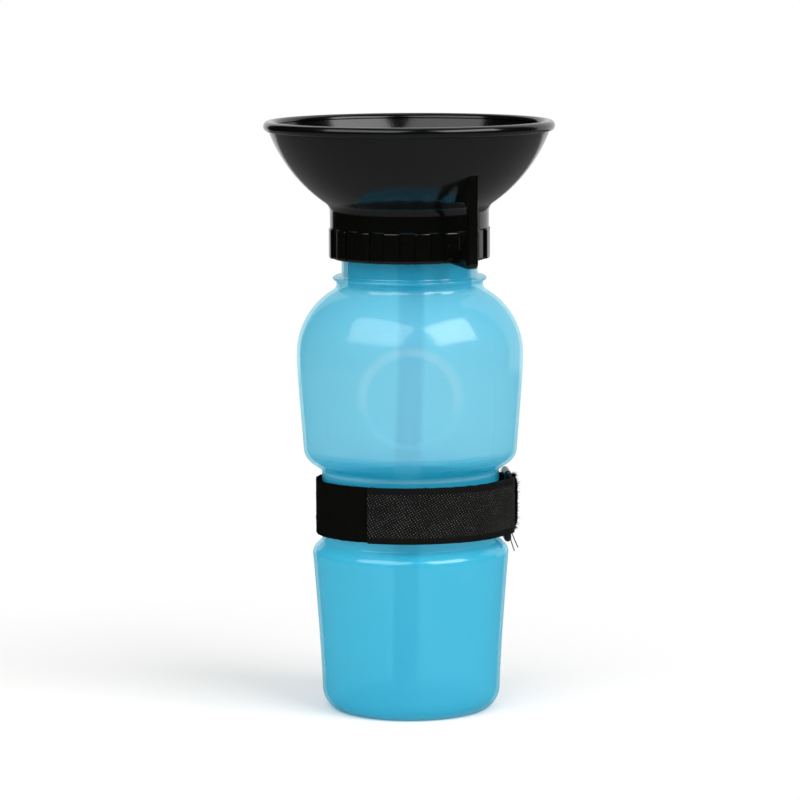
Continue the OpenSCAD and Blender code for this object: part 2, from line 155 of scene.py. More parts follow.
class Wire:
    """A socket in a material's nodes. Sums on wires add Math nodes, and add() any other node."""

    def __init__(self, tree, socket=None):
        self.tree, self.socket = tree, socket

    def add(self, kind, settings=None, sockets=None, out=0):
        node = self.tree.nodes.new(kind)
        for name, value in (settings or {}).items():
            if name == "stops":
                for element, (place, shade) in zip(node.color_ramp.elements, value):
                    element.position, element.color = place, shade
            else:
                setattr(node, name, value)
        for name, value in (sockets or {}).items():
            if isinstance(value, Wire):
                self.tree.links.new(value.socket, node.inputs[name])
            else:
                node.inputs[name].default_value = value
        return Wire(self.tree, node.outputs[out] if len(node.outputs) else None)

    def maths(self, operation, *values):
        return self.add("ShaderNodeMath", {"operation": operation}, dict(enumerate(values)))

    def __add__(self, other):
        return self.maths("ADD", self, other)

    def __sub__(self, other):
        return self.maths("SUBTRACT", self, other)

    def __rsub__(self, other):
        return self.maths("SUBTRACT", other, self)

    def __mul__(self, other):
        return self.maths("MULTIPLY", self, other)

    __radd__ = __add__
    __rmul__ = __mul__

    def step(self, low, high):
        """0 below low, 1 above high, and smooth between them."""
        sockets = {"Value": self, "From Min": low, "From Max": high}
        return self.add("ShaderNodeMapRange", {"interpolation_type": "SMOOTHSTEP"}, sockets)

    def blend(self, first, second):
        """A colour between two others, by this wire."""
        sockets = {0: self, 6: first, 7: second}
        return self.add("ShaderNodeMix", {"data_type": "RGBA"}, sockets, out=2)


def new_finish(name):
    """An empty material, and a wire to build its nodes from."""
    finish = bpy.data.materials.new(name)
    finish.use_nodes = True
    finish.node_tree.nodes.clear()
    return finish, Wire(finish.node_tree)


def show(wire, shader):
    """Makes a shader what the surface shows."""
    wire.add("ShaderNodeOutputMaterial", {}, {"Surface": shader})


def axes(wire):
    """The place on the piece in the frame, in metres, as its vector and its three parts."""
    place = wire.add("ShaderNodeTexCoord", out=3)
    split = place.add("ShaderNodeSeparateXYZ", {}, {"Vector": place}).socket.node
    return [place] + [Wire(wire.tree, s) for s in split.outputs]


def speckled(name, specks, colours, rough, gloss, bump):
    """A plain finish of fine specks: their scale and detail, their two colours, the roughness and
    what the specks add to it, the specular level, and the bumps' strength and height."""
    finish, nodes = new_finish(name)
    place = axes(nodes)[0]
    sockets = {"Vector": place, "Scale": specks[0], "Detail": specks[1]}
    noise = nodes.add("ShaderNodeTexNoise", {}, sockets)
    sockets = {"Strength": bump[0], "Distance": bump[1], "Height": noise}
    bumps = nodes.add("ShaderNodeBump", {}, sockets)
    sockets = {
        "Base Color": noise.blend(*colours),
        "Roughness": noise * rough[1] + rough[0],
        "Specular IOR Level": gloss,
        "Normal": bumps,
    }
    show(nodes, nodes.add("ShaderNodeBsdfPrincipled", {}, sockets))
    return finish


bulb_blue, shoulder_blue = (0.335, 0.68, 0.82, 1), (0.23, 0.635, 0.80, 1)
# The darkest blue is the thick neck's own colour, and painted shade just under the bulb.
lower_blue, thick_and_shaded_blue = (0.055, 0.59, 0.79, 1), (0.028, 0.41, 0.60, 1)
# The pale colour of the painted highlight on the dimple's rim and the groove's upper edge.
highlight_blue = (0.62, 0.86, 0.93, 1)
glow_blue, clear_blue = (0.10, 0.69, 0.86, 1), (0.74, 0.95, 0.98, 1)

blue_plastic, nodes = new_finish("blue_polyethylene")
place, along_x, along_y, along_z = axes(nodes)
# Where the wall is thin (bulb) or thick (neck), by height in metres. Under the bulb the thick colour
# is painted shade. A pale painted highlight lies round the dimple's rim, strongest on its upper arch,
# and along the groove's upper edge.
thin = along_z.step(0.0905, 0.0985)
thick = along_z.step(0.1535, 0.1565)
shoulder = along_z.step(0.1260, 0.1500)
up = along_z - dimple_z * MM
from_dimple = up.maths("SQRT", along_x * along_x + up * up)
# Painted highlight: a pale band round the dimple's rim, mostly on its upper arch, and a line on the
# groove's upper edge.
painted_highlight = from_dimple.step(0.0146, 0.0162) * (1 - from_dimple.step(0.0172, 0.0200))
painted_highlight = painted_highlight * (up.step(-0.010, 0.006) * 0.9 + 0.1)
groove_highlight = along_z.step(0.0868, 0.0876) * (1 - along_z.step(0.0882, 0.0892))
painted_highlight = painted_highlight.maths("MAXIMUM", painted_highlight, groove_highlight * 0.7)
# Painted shade: just under the bulb the wall takes the dark thick colour, and it is a little clearer
# there.
shade_under_bulb = along_z.step(0.0884, 0.0896) * (1 - along_z.step(0.0925, 0.0975))
outer_skin = nodes.add("ShaderNodeAttribute", {"attribute_name": "outer_skin"}, out=2)
clouds = nodes.add("ShaderNodeTexNoise", {}, {"Vector": place, "Scale": 38.0, "Detail": 3.0})
ripple = nodes.add("ShaderNodeTexNoise", {}, {"Vector": place, "Scale": 900.0, "Detail": 2.0})
waves = nodes.add("ShaderNodeTexNoise", {}, {"Vector": place, "Scale": 130.0, "Detail": 2.0})
parting = 1 - along_y.maths("ABSOLUTE", along_y).step(0.00012, 0.0004)
relief = ripple * 0.06 + clouds + waves * 0.9 + parting * 0.5
grain = nodes.add("ShaderNodeBump", {}, {"Strength": 0.12, "Distance": 0.0002, "Height": relief})
cloudy_thin = thin + (clouds - 0.5) * 0.25
wall_colour = thick.maths("MAXIMUM", thick, shade_under_bulb).blend(
    cloudy_thin.blend(lower_blue, shoulder.blend(bulb_blue, shoulder_blue)), thick_and_shaded_blue
)
gloss = nodes.add(
    "ShaderNodeBsdfPrincipled",
    {},
    {
        "Base Color": (painted_highlight * (clouds * 0.5 + 0.3)).blend(wall_colour, highlight_blue),
        "Roughness": clouds * 0.08 + 0.13 + (1 - outer_skin) * 0.35,
        "Specular IOR Level": 0.6,
        "Coat Weight": outer_skin,
        "Coat Roughness": 0.15,
        "Coat IOR": 1.85,
        "Normal": grain,
    },
)
glow = nodes.add("ShaderNodeBsdfTranslucent", {}, {"Color": glow_blue})
milk = nodes.add("ShaderNodeMixShader", {}, {0: 0.35, 1: gloss, 2: glow})
clear = nodes.add("ShaderNodeBsdfTransparent", {}, {"Color": clear_blue})
over_strap = along_z.step(0.0800, 0.0830) * (1 - along_z.step(0.0885, 0.0895))
clearness = thin * 0.12 + 0.5 - thick * 0.2 + shade_under_bulb * 0.1 - over_strap * 0.12
show(nodes, nodes.add("ShaderNodeMixShader", {}, {0: clearness, 1: milk, 2: clear}))

outside = body_outline(0, shoulder_end)
outside += arc((fillet_r, root_z), root_fillet, 180 + shoulder_end, 180, 8)
bead_z = root_z + root_h
outside += [(neck_root_r, bead_z - 0.3), (neck_root_r + 0.3, bead_z)]
outside += arc((bead_r - bead_tip, bead_z + bead_h / 2), bead_tip, -70, 80, 8)
neck_z = bead_z + bead_h
outside += arc((neck_r + 0.7, neck_z + 0.6), 0.7, 240, 180, 4)
outside += [(neck_r, lip_z - 10)] + arc((neck_r - 0.6, lip_z - 0.6), 0.6, 0, 90, 4)
outside += arc((mouth_r + 0.5, lip_z - 0.5), 0.5, 90, 180, 4)
mouth_angle = np.degrees(np.arccos((mouth_r - shoulder_in) / (shoulder_round - wall)))
inside = body_outline(wall, mouth_angle)

points, faces = turned(outside + inside[::-1], around=300, closed=False)
reach = np.hypot(points[:, 0], points[:, 2] - dimple_z) / dimple_r
rim_share = np.clip((1 - reach) / dimple_edge, 0, 1)
dent = dimple_step * rim_share**2 * (3 - 2 * rim_share) + dimple_depth * np.clip(1 - reach**2, 0, 1)
dent *= np.hypot(points[:, 0], points[:, 1]) > 30
keep = 1 - dent / np.maximum(np.hypot(points[:, 0], points[:, 1]), 1)
points[:, :2] *= keep[:, None]
shell = piece("bottle_shell", points, faces, blue_plastic, "bottle")
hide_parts("bottle")


def mark_outside(made, middle):
    """Stores 1 on the skin that faces away from a point inside the bottle: the glossy one."""
    marks = made.data.attributes.new("outer_skin", "FLOAT", "POINT")
    for vertex, mark in zip(made.data.vertices, marks.data):
        mark.value = float(vertex.normal.dot(vertex.co - middle) > 0)


mark_outside(shell, Vector((0, 0, 0.075)))

# The neck's screw thread, a turn and a half with run-out ends, under the bowl's collar.
pitch = 5.0
thread_low = lip_z - 11.5


def thread(base_r, height, low, turns, start):
    """A raised screw thread of one rounded ridge on a cylinder, its ends run out to nothing."""
    rows = []
    steps = int(turns * 90)
    for i in range(steps + 1):
        u = i / steps
        angle = start + 2 * np.pi * turns * u
        rise = height * min(1, 14 * min(u, 1 - u)) ** 0.5
        section = [(-0.4, -1.3), (0.25 * rise, -1.1), (0.85 * rise, -0.7), (rise, -0.4)]
        section += [(rise, 0.4), (0.85 * rise, 0.7), (0.25 * rise, 1.1), (-0.4, 1.3)]
        z = low + pitch * turns * u
        if height < 0:
            section = [(0.4 if r == -0.4 else r, h) for r, h in section]
        way = np.array([np.cos(angle), np.sin(angle)])
        rows.append([(*((base_r + r) * way), z + h) for r, h in section])
    points, faces = loft(rows)
    last = len(points) - 8
    return points, faces + [tuple(range(8)), tuple(range(last, last + 8))]


points, faces = thread(neck_r, 1.05, thread_low, 1.5, 0.4)
neck_ridge = piece("neck_thread", points, faces, blue_plastic, "bottle")
mark_outside(neck_ridge, Vector((0, 0, 0.15)))


# ---- Neck seal ----
# A flat rubber washer that lies between the bottle's lip and the ceiling of the collar.
# It is dropped into the collar, and only shows once the bowl is unscrewed.

rubber_greys = (0.012, 0.012, 0.013, 1), (0.045, 0.045, 0.047, 1)
rubber = speckled("seal_rubber", (700.0, 4.0), rubber_greys, (0.55, 0.2), 0.5, (0.2, 0.0002))
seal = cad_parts["neck_seal"]
seal.data.materials.clear()
seal.data.materials.append(rubber)


# ---- Drinking bowl ----
# One moulding of glossy black plastic: a curved dish with a rolled rim, its screw collar with
# sixteen finger grips, the socket and post of the outlet, and the belt hook.
# It screws down on the bottle's neck.

bowl_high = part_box("bowl")[1]
rim_z, rim_r = bowl_high.z / MM, bowl_high.x / MM
seal_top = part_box("neck_seal")[1].z / MM
bowl_wall, floor_t, roll_r = 1.9, 2.4, 1.95
floor_z = seal_top + floor_t
collar_h, collar_bore_r, collar_wall = 17.6, 26.1, 2.75
collar_r, collar_z = collar_bore_r + collar_wall, seal_top - collar_h
flank_round, flank_drop, floor_round = 55.6, 0.95, 3.0
grip_count, grip_share, grip_h, grip_rise, grip_cut, grip_dir = 16, 0.5, 11.0, 0.5, 0.4, -13
post_r, post_h, channel_r, catch_rise = 5.6, 7.7, 3.75, 0.4
tube_r, socket_wall, socket_h, tube_fit = 4.75, 2.0, 12.0, 0.05
post_z = floor_z + post_h


def circle_through(low, high, radius):
    """Centre of the circle through two points of an outline that hangs over them."""
    low, high = np.array(low), np.array(high)
    way = high - low
    rise = np.sqrt(radius**2 - way @ way / 4)
    return (low + high) / 2 + np.array([-way[1], way[0]]) / np.linalg.norm(way) * rise


def angle_from(centre, point):
    return np.degrees(np.arctan2(point[1] - centre[1], point[0] - centre[0]))


flank_low = (collar_r, floor_z - flank_drop)
flank_high = (rim_r - roll_r, rim_z - 2 * roll_r)
flank_c = circle_through(flank_low, flank_high, flank_round)
flank_fillet = 4.0
throat_r = collar_r + flank_fillet
throat_z = flank_c[1] - np.sqrt((flank_round + flank_fillet) ** 2 - (throat_r - flank_c[0]) ** 2)
dish_round = flank_round - bowl_wall
fillet_z = floor_z + floor_round
fillet_reach = np.sqrt((dish_round - floor_round) ** 2 - (flank_c[1] - fillet_z) ** 2)
fillet_c = (flank_c[0] + fillet_reach, fillet_z)
join = angle_from(flank_c, fillet_c)
roll_c = (rim_r - roll_r, rim_z - roll_r)
dish_top = np.degrees(np.arcsin((roll_c[1] + 0.4 - flank_c[1]) / dish_round))

socket_r = tube_r + tube_fit + socket_wall
outline = [(tube_r + tube_fit, seal_top - socket_h), (tube_r + tube_fit, seal_top)]
outline += [(channel_r, seal_top), (channel_r, post_z - 0.4), (channel_r + 0.3, post_z)]
catch_r = post_r + catch_rise
outline += [(post_r - 0.2, post_z), (catch_r, post_z - 0.4), (catch_r, post_z - 1.0)]
outline += [(post_r, post_z - 1.5)] + arc((post_r + 1.2, floor_z + 1.2), 1.2, 180, 270, 5)
outline += arc(fillet_c, floor_round, -90, join, 8) + arc(flank_c, dish_round, join, dish_top, 44)
outline += arc(roll_c, roll_r, 168, -62, 22)
throat = angle_from(flank_c, (throat_r, throat_z))
outline += arc(flank_c, flank_round, angle_from(flank_c, flank_high), throat, 50)
outline += arc((throat_r, throat_z), flank_fillet, 180 + throat, 180, 8)
cut_r = collar_r - grip_cut
grip_top = collar_z + grip_h + grip_cut
outline += [(collar_r, throat_z - 0.6), (collar_r, grip_top + 0.4), (collar_r, grip_top)]
outline += [(cut_r, grip_top - 0.5), (cut_r, grip_top - 0.9), (cut_r, collar_z + 1.2)]
outline += [(cut_r, collar_z + 0.8), (cut_r - 0.25, collar_z + 0.25)]
outline += [(cut_r - 0.8, collar_z), (collar_bore_r + 0.4, collar_z), (collar_bore_r, collar_z + 0.4)]
outline += [(collar_bore_r, seal_top), (socket_r, seal_top), (socket_r, seal_top - socket_h)]

glossy_blacks = (0.0012, 0.0013, 0.0011, 1), (0.0026, 0.0027, 0.0023, 1)
black_plastic, nodes = new_finish("glossy_black_plastic")
place = axes(nodes)[0]
smear = nodes.add("ShaderNodeTexNoise", {}, {"Vector": place, "Scale": 24.0, "Detail": 4.0})
specks = nodes.add("ShaderNodeTexNoise", {}, {"Vector": place, "Scale": 1500.0, "Detail": 2.0})
relief = specks + smear * 3
moulded = nodes.add("ShaderNodeBump", {}, {"Strength": 0.05, "Distance": 0.0002, "Height": relief})
show(
    nodes,
    nodes.add(
        "ShaderNodeBsdfPrincipled",
        {},
        {
            "Base Color": smear.blend(*glossy_blacks),
            "Roughness": smear * 0.12 + specks * 0.06 + 0.06,
            "Specular IOR Level": 0.34,
            "Normal": moulded,
        },
    ),
)
points, faces = turned(outline, around=192)
dish = piece("bowl_moulding", points, faces, black_plastic, "bowl", sharp=38)
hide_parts("bowl")


def rounded_box(half, rounding, cuts):
    """Points and faces of a box with rounded edges, with so many steps along each side."""
    points, faces = [], []
    for axis in range(3):
        for side in (-1, 1):
            u_axis, v_axis = (axis + 1) % 3, (axis + 2) % 3
            first = len(points)
            us = np.linspace(-1, 1, cuts[u_axis] + 1)
            vs = np.linspace(-1, 1, cuts[v_axis] + 1)
            for u in us:
                for v in vs:
                    p = np.zeros(3)
                    p[axis], p[u_axis], p[v_axis] = side, u, v
                    points.append(p * half)
            wide = len(vs)
            for i in range(len(us) - 1):
                for j in range(wide - 1):
                    a = first + i * wide + j
                    faces.append((a, a + 1, a + wide + 1, a + wide))
    points = np.array(points)
    core = np.clip(points, rounding - half, half - rounding)
    out = points - core
    return core + rounding * out / np.maximum(np.linalg.norm(out, axis=1), 1e-9)[:, None], faces


def place_round(points, radius, direction, height):
    """Bends points round the axis: their x runs round it, y outward and z up."""
    angle = np.radians(direction - 90) + points[:, 0] / radius
    reach = radius + points[:, 1]
    return np.stack([reach * np.cos(angle), reach * np.sin(angle), points[:, 2] + height], axis=1)


grip_wide = 2 * np.pi * collar_r / grip_count * grip_share
grip_deep, grip_lift = 0.95, 0.3
grip_half = np.array([grip_wide / 2, grip_deep, (grip_h - 0.1) / 2])
grip_z = collar_z + grip_lift + grip_half[2]
grip_points, grip_faces = rounded_box(grip_half, 0.55, (14, 5, 20))
for k in range(grip_count):
    direction = grip_dir + 360 / grip_count * k
    at_grip = place_round(grip_points, collar_r + grip_rise - grip_deep, direction, grip_z)
    piece(f"finger_grip_{k + 1:02d}", at_grip, grip_faces, black_plastic, "bowl")

points, faces = thread(collar_bore_r, -0.85, thread_low + pitch / 2, 1.4, 0.4)
piece("collar_thread", points, faces, black_plastic, "bowl")

# The belt hook: a flat web under the flank, an arm down beside the collar and a foot under it.
hook_dir, hook_w, hook_r, hook_t, hook_drop = 32, 3.8, 43.0, 2.4, 1.0
hook_arm_h, slot_rise, slot_round, ramp_in, ramp_h, nose_gap = 8.2, 2.4, 2.4, 6.4, 5.8, 0.5
hook_edge = 0.5
arm_in = hook_r - hook_t
nose_r = collar_r + grip_rise + nose_gap
slot_top = floor_z + slot_rise
ramp_top = slot_top - slot_round - hook_arm_h
ramp_low = np.array([hook_r - ramp_in, ramp_top - ramp_h])
corner = 2.0
web_round = flank_round - bowl_wall / 2


def web_angle(r):
    return -np.degrees(np.arccos((r - flank_c[0]) / web_round))


toe_z, gusset_out, gusset_h, nose_round = collar_z + 0.2, 2.0, 3.0, 1.7
profile = [(nose_r, toe_z)]
profile += arc((hook_r - corner, collar_z - hook_drop + corner), corner, -90, 0, 8)
profile += arc(flank_c, web_round, web_angle(hook_r), web_angle(collar_r - 0.4), 14)
profile += [(collar_r - 0.4, slot_top - gusset_h), (collar_r + gusset_out, slot_top)]
profile += arc((arm_in - slot_round, slot_top - slot_round), slot_round, 90, 0, 8)
profile += [(arm_in, ramp_top), tuple(ramp_low)]
profile += arc(ramp_low - nose_round * np.array([0.5, 0.95]), nose_round, 60, 180, 8)
profile += [(nose_r + 1.2, toe_z + 1.4), (nose_r, toe_z + 1)]


def plate(outline, thick, edge):
    """A flat plate cut to an outline in the radial plane, with rounded edges."""
    work = bmesh.new()
    corners = [work.verts.new((r, -thick / 2, z)) for r, z in outline]
    front = work.faces.new(corners)
    grown = bmesh.ops.extrude_face_region(work, geom=[front])
    bmesh.ops.translate(
        work, vec=(0, thick, 0), verts=[g for g in grown["geom"] if isinstance(g, bmesh.types.BMVert)]
    )
    rims = [e for e in work.edges if abs(e.verts[0].co.y - e.verts[1].co.y) < 1e-6]
    bmesh.ops.bevel(work, geom=rims, offset=edge, segments=3, profile=0.5, affect="EDGES")
    bmesh.ops.triangulate(work, faces=[f for f in work.faces if len(f.verts) > 4])
    work.verts.index_update()
    points = np.array([v.co[:] for v in work.verts])
    faces = [tuple(v.index for v in f.verts) for f in work.faces]
    work.free()
    return points, faces


points, faces = plate(profile, hook_w, hook_edge)
turn = np.radians(hook_dir - 90)
spun = np.stack(
    [
        points[:, 0] * np.cos(turn) - points[:, 1] * np.sin(turn),
        points[:, 0] * np.sin(turn) + points[:, 1] * np.cos(turn),
        points[:, 2],
    ],
    axis=1,
)
piece("belt_hook", spun, faces, black_plastic, "bowl", sharp=50)

# The pin that shuts the cap's hole, on three ribs in the post's channel.
pin_r, pin_out, rib_t = 1.9, 2.0, 1.2
points, faces = turned(
    [(0, floor_z + 1), (pin_r, floor_z + 1), (pin_r, post_z + pin_out - 0.5)]
    + arc((pin_r - 0.5, post_z + pin_out - 0.5), 0.5, 0, 90, 4)
    + [(0, post_z + pin_out)],
    around=48,
    closed=False,
)
piece("outlet_pin", points, faces, black_plastic, "bowl")
rib_low, rib_high = floor_z + 1, post_z - 2.5
rib_half = np.array([(channel_r + 0.5) / 2, rib_t / 2, (rib_high - rib_low) / 2])
rib_points, rib_faces = rounded_box(rib_half, 0.2, (4, 4, 8))
for k in range(3):
    turn = np.radians(120 * k + 30)
    x, y = rib_points[:, 0] + rib_half[0], rib_points[:, 1]
    spun = [x * np.cos(turn) - y * np.sin(turn), x * np.sin(turn) + y * np.cos(turn)]
    points = np.stack(spun + [rib_points[:, 2] + (rib_low + rib_high) / 2], axis=1)
    piece(f"pin_rib_{k + 1}", points, rib_faces, black_plastic, "bowl")


# ---- Outlet cap ----
# A push-pull cap of satin black plastic that snaps over the post in the bowl's floor.
# Pulled up, it clears the pin and lets the water through.

satin_greys = (0.002, 0.002, 0.002, 1), (0.006, 0.006, 0.006, 1)
satin_bump = (0.15, 0.0001)
satin_black = speckled("satin_black_plastic", (1800.0, 2.0), satin_greys, (0.25, 0.2), 0.2, satin_bump)
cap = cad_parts["outlet_cap"]
cap.data.materials.clear()
cap.data.materials.append(satin_black)


# ---- Dip tube ----
# A milky tube pressed into the socket under the bowl. It reaches down to the bottle's floor,
# bends a little on its way, and is cut on a slant so that the floor can't shut it.

tube_low, tube_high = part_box("dip_tube")
tube_wall = 1.0
tube_cut = 25
lean = [(182.8, 0.0), (168, 0.1), (140, 0.7), (115, 0.0), (92, -1.0), (50, -1.6), (6, -1.9)]
lean_z = [z for z, _ in lean][::-1]
lean_x = [x for _, x in lean][::-1]

milky, nodes = new_finish("milky_tube_plastic")
place = axes(nodes)[0]
mist = nodes.add("ShaderNodeTexNoise", {}, {"Vector": place, "Scale": 60.0, "Detail": 3.0})
sheen = nodes.add(
    "ShaderNodeBsdfPrincipled",
    {},
    {
        "Base Color": mist.blend((0.46, 0.66, 0.74, 1), (0.58, 0.74, 0.80, 1)),
        "Roughness": mist * 0.15 + 0.25,
    },
)
glow = nodes.add("ShaderNodeBsdfTranslucent", {}, {"Color": (0.6, 0.8, 0.88, 1)})
milk = nodes.add("ShaderNodeMixShader", {}, {0: 0.4, 1: sheen, 2: glow})
clear = nodes.add("ShaderNodeBsdfTransparent", {}, {"Color": (0.93, 0.97, 1.0, 1)})
show(nodes, nodes.add("ShaderNodeMixShader", {}, {0: mist * 0.1 + 0.45, 1: milk, 2: clear}))
rows = []
for r in (tube_r, tube_r - tube_wall):
    heights = np.linspace(tube_low.z / MM, tube_high.z / MM, 60)
    if r < tube_r:
        heights = heights[::-1]
    for z in heights:
        row = []
        for t in np.linspace(0, 2 * np.pi, 40, endpoint=False):
            slope = (r * np.cos(t) + tube_r) * np.tan(np.radians(tube_cut))
            at_z = max(z, tube_low.z / MM + slope)
            row.append((r * np.cos(t) + np.interp(z, lean_z, lean_x), r * np.sin(t), at_z))
        rows.append(row)
points, faces = loft(rows, round_rows=True)
tube = piece("dip_tube_bent", points, faces, milky, "bowl", sharp=50)
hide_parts("dip_tube")


# ---- Loop tape ----
# The strap's main length: 20 mm loop tape with a deep black pile on its outer side.
# It starts folded and sewn round the ring's rear bar, and runs round the bottle's back.

strap_low, strap_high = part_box("strap_band")
strap_lift = 0.35
strap_z = (strap_low.z + strap_high.z) / 2 / MM + strap_lift
tape_w = (strap_high.z - strap_low.z) / MM
band_t, tail_t, strap_gap = 2.1, 1.2, 0.3
ring_dir, ring_l, bar_r, bar_fit, ring_gap, sewn_turn = 94, 13.2, 1.3, 0.05, 1.6, 32
strap_tilt, loose_fold = 2.0, 1.5
band_in = waist_r + strap_gap
band_out = band_in + band_t
ring_d = waist_r + ring_gap + bar_r
bar_d = np.hypot(ring_d, ring_l / 2 - bar_r)
bar_turn = np.degrees(np.arctan2(ring_l / 2 - bar_r, ring_d))
front_bar, rear_bar = ring_dir - bar_turn, ring_dir + bar_turn


def at(r, direction):
    """A point in plan, its direction counted in degrees from the front towards +X."""
    return np.array([r * np.sin(np.radians(direction)), -r * np.cos(np.radians(direction))])


def ease(u):
    return u * u * (3 - 2 * u)


def tape(route, thick, width, edge, crown=0.0):
    """A tape on a route in plan: its outline round the section is a row for each route point,
    its outer side thinner at the edges by the crown. The way along and across comes with it."""
    route = np.array(route)
    ahead = np.gradient(route, axis=0)
    ahead /= np.linalg.norm(ahead, axis=1)[:, None]
    out = np.stack([ahead[:, 1], -ahead[:, 0]], axis=1)
    half_t, half_w = thick / 2, width / 2
    section = []
    for centre, start in (((1, 1), 0), ((-1, 1), 90), ((-1, -1), 180), ((1, -1), 270)):
        middle = (centre[0] * (half_t - edge), centre[1] * (half_w - edge))
        section += arc(middle, edge, start, start + 90, 3)
        if start in (0, 180):
            continue
        for h in np.linspace(middle[1], -middle[1], 12)[1:-1]:
            section.append((centre[0] * half_t, h))
    section = np.array(section)
    section[:, 0] -= crown * np.abs(section[:, 1] / half_w) ** 8 * (section[:, 0] > 0)
    rows = []
    for p, o in zip(route, out):
        rows.append([(p[0] + o[0] * s, p[1] + o[1] * s, strap_z + h) for s, h in section])
    points, faces = loft(rows)
    wide = len(section)
    last = len(points) - wide
    faces += [tuple(range(wide)), tuple(range(last, last + wide))]
    length = np.concatenate([[0], np.cumsum(np.linalg.norm(np.diff(route, axis=0), axis=1))])
    along = np.repeat(length, wide)
    across = np.tile(section[:, 1], len(route))
    return points, faces, along, across


def tilted(points):
    """Leans the strap on the bottle: its front rides a little higher than its back."""
    leant = points.copy()
    leant[:, 2] -= points[:, 1] * np.tan(np.radians(strap_tilt))
    return leant


def paint_route(made, along, across):
    """Stores the way along and across a tape, in metres, for its weave."""
    layer = made.data.uv_layers.new(name="weave")
    for loop in made.data.loops:
        v = loop.vertex_index
        layer.data[loop.index].uv = (along[v] * MM, across[v] * MM)


band_mid = (band_in + band_out) / 2
band_fold = bar_r + bar_fit + band_t / 2
tail_fold_r = bar_r + bar_fit + tail_t
band_end = front_bar - np.degrees(np.arcsin((tail_fold_r + strap_gap) / band_out))
rear_centre = at(bar_d, rear_bar)
route = [at(band_mid, a) for a in np.linspace(360 + band_end, rear_bar + 14, 150)]
for u in np.linspace(0, 1, 8)[1:]:
    r = band_mid + (bar_d - band_fold - band_mid) * ease(u)
    route.append(at(r, rear_bar + 14 * (1 - u)))
for t in np.linspace(180, 0, 14)[1:]:
    side, out_way = at(1, rear_bar - 90), at(1, rear_bar)
    outward, sideways = np.cos(np.radians(t)), np.sin(np.radians(t))
    reach = band_fold + loose_fold * max(outward, 0)
    route.append(rear_centre + out_way * reach * outward + side * band_fold * sideways)
over = band_out + band_t / 2 + 0.1
for u in np.linspace(0, 1, 10)[1:]:
    r = bar_d + band_fold + loose_fold
    route.append(at(r + (over - r) * ease(u), rear_bar + 17 * u))
route += [at(over, a) for a in np.linspace(rear_bar + 17, rear_bar + sewn_turn, 8)[1:]]

pile_crown = 1.35
pile_blacks = (0.0012, 0.0012, 0.0010, 1), (0.0048, 0.0048, 0.0040, 1)
pile_black, nodes = new_finish("loop_pile")
place = axes(nodes)[0]
tufts = nodes.add("ShaderNodeTexNoise", {}, {"Vector": place, "Scale": 1400.0, "Detail": 4.0})
patches = nodes.add("ShaderNodeTexNoise", {}, {"Vector": place, "Scale": 160.0, "Detail": 3.0})
shag = nodes.add("ShaderNodeBump", {}, {"Strength": 0.9, "Distance": 0.0004, "Height": tufts})
show(
    nodes,
    nodes.add(
        "ShaderNodeBsdfPrincipled",
        {},
        {
            "Base Color": (tufts * 0.6 + patches * 0.4).blend(*pile_blacks),
            "Roughness": 0.95,
            "Specular IOR Level": 0.01,
            "Normal": shag,
        },
    ),
)
points, faces, along, across = tape(route, band_t - 0.25, tape_w - 0.3, 0.4, crown=pile_crown)
rough = np.random.default_rng(4)
points += rough.normal(0, 0.06, points.shape)
band = piece("loop_tape", tilted(points), faces, pile_black, "strap", sharp=180)
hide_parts("strap_band")


def strands(roots, ways, lengths, thick, seed):
    """Short curled fibres that stand on given roots, as one mesh of three-sided strands."""
    rng = np.random.default_rng(seed)
    points, faces = [], []
    for root, way, length in zip(roots, ways, lengths):
        bend = rng.normal(0, 0.5, 3)
        side = np.cross(way, bend + (0.01, 0.02, 0.03))
        side /= np.linalg.norm(side)
        other = np.cross(way, side)
        first = len(points)
        for k, u in enumerate((0, 0.35, 0.7, 1.0)):
            middle = root + way * length * u + bend * length * 0.45 * u * u
            width = thick * (1 - 0.45 * u)
            for t in (0, 2.094, 4.189):
                points.append(middle + width * (side * np.cos(t) + other * np.sin(t)))
        for k in range(3):
            for j in range(3):
                a, b = first + 3 * k + j, first + 3 * k + (j + 1) % 3
                faces.append((a, b, b + 3, a + 3))
        faces.append((first + 9, first + 10, first + 11))
    return np.array(points), faces


rng = np.random.default_rng(11)
band_route = np.array(route)
ahead = np.gradient(band_route, axis=0)
ahead /= np.linalg.norm(ahead, axis=1)[:, None]
length = np.concatenate([[0], np.cumsum(np.linalg.norm(np.diff(band_route, axis=0), axis=1))])
covered = np.radians(360 + band_end - 338) * band_mid
roots, ways, lengths = [], [], []
fibre_count, fold_fibre_count, fold_run = 7200, 1800, 24
for k in range(fibre_count + fold_fibre_count):
    place_along = rng.uniform(covered if k < fibre_count else length[-1] - fold_run, length[-1])
    h = rng.uniform(-1, 1)
    edge = rng.random() < 0.45
    if edge:
        h = np.sign(h) * rng.uniform(0.93, 1.0)
    p = [np.interp(place_along, length, band_route[:, k]) for k in (0, 1)]
    along_way = [np.interp(place_along, length, ahead[:, k]) for k in (0, 1)]
    o = np.array([along_way[1], -along_way[0]])
    half = band_t / 2 - 0.2 - pile_crown * abs(h) ** 8
    roots.append((p[0] + o[0] * half, p[1] + o[1] * half, strap_z + h * (tape_w / 2 - 0.25)))
    up = np.sign(h) * (0.7 if edge else 0.15) + rng.normal(0, 0.25)
    way = np.array([o[0], o[1], up]) + rng.normal(0, 0.22, 3)
    ways.append(way / np.linalg.norm(way))
    loose = 1.0 if place_along > length[-1] - fold_run else 0.4
    lengths.append(rng.uniform(0.25, 0.6) + loose * rng.random() ** 2)
points, faces = strands(np.array(roots), np.array(ways), lengths, 0.05, 5)
piece("pile_fibres", tilted(points), faces, pile_black, "strap")

